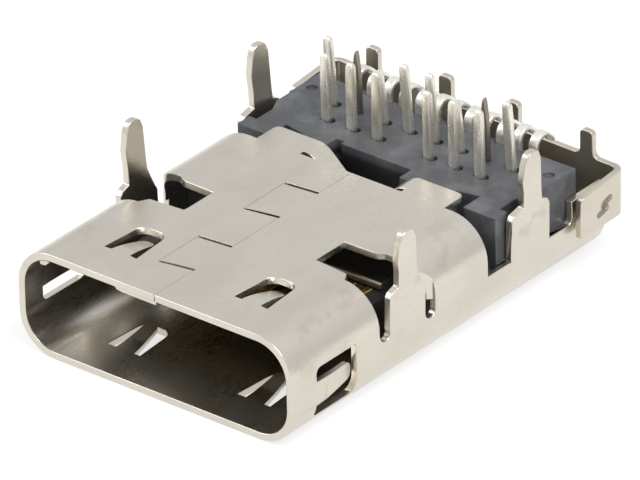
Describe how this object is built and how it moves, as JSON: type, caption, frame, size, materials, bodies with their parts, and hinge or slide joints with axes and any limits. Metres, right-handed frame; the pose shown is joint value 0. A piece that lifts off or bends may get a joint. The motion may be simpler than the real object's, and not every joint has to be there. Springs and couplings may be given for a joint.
{
  "type": "usb-c socket",
  "caption": "Right-angle USB-C board socket: a stamped metal shell with solder legs, a plastic tongue and insulator, through-hole pins, surface-mount tails and a rear cover.",
  "frame": {"origin": "centre of the bounding box's bottom, on the plane of the shell's plain back", "axes": "+Z towards the board side with the legs, pins and tails; -Y out of the mouth; X across the mouth"},
  "size_m": [0.0094, 0.0128, 0.0046],
  "materials": {
    "shell_metal": "nickel-plated sheet, satin",
    "cover_metal": "nickel-plated sheet, satin, with bare cut edges",
    "insulator": "moulded glass-filled plastic, slightly glossy",
    "tongue_plastic": "moulded glass-filled plastic",
    "plate_metal": "bare stamped stainless steel",
    "tail_metal": "copper alloy, tin-plated tails",
    "pin_metal": "copper alloy, tin-plated pins"
  },
  "bodies": {
    "root": {"shell": "shell_metal", "rear_cover": "cover_metal", "housing": "insulator", "tongue": "tongue_plastic", "mid_plate": "plate_metal", "ground_pad_board_side": "plate_metal", "ground_pad_back_side": "plate_metal", "smt_contact_1": "tail_metal", "smt_contact_2": "tail_metal", "smt_contact_3": "tail_metal", "smt_contact_4": "tail_metal", "smt_contact_5": "tail_metal", "smt_contact_6": "tail_metal", "smt_contact_7": "tail_metal", "smt_contact_8": "tail_metal", "smt_contact_9": "tail_metal", "smt_contact_10": "tail_metal", "smt_contact_11": "tail_metal", "smt_contact_12": "tail_metal", "pin_contact_1": "pin_metal", "pin_contact_2": "pin_metal", "pin_contact_3": "pin_metal", "pin_contact_4": "pin_metal", "pin_contact_5": "pin_metal", "pin_contact_6": "pin_metal", "pin_contact_7": "pin_metal", "pin_contact_8": "pin_metal", "pin_contact_9": "pin_metal", "pin_contact_10": "pin_metal", "pin_contact_11": "pin_metal", "pin_contact_12": "pin_metal"}
  },
  "joints": []
}
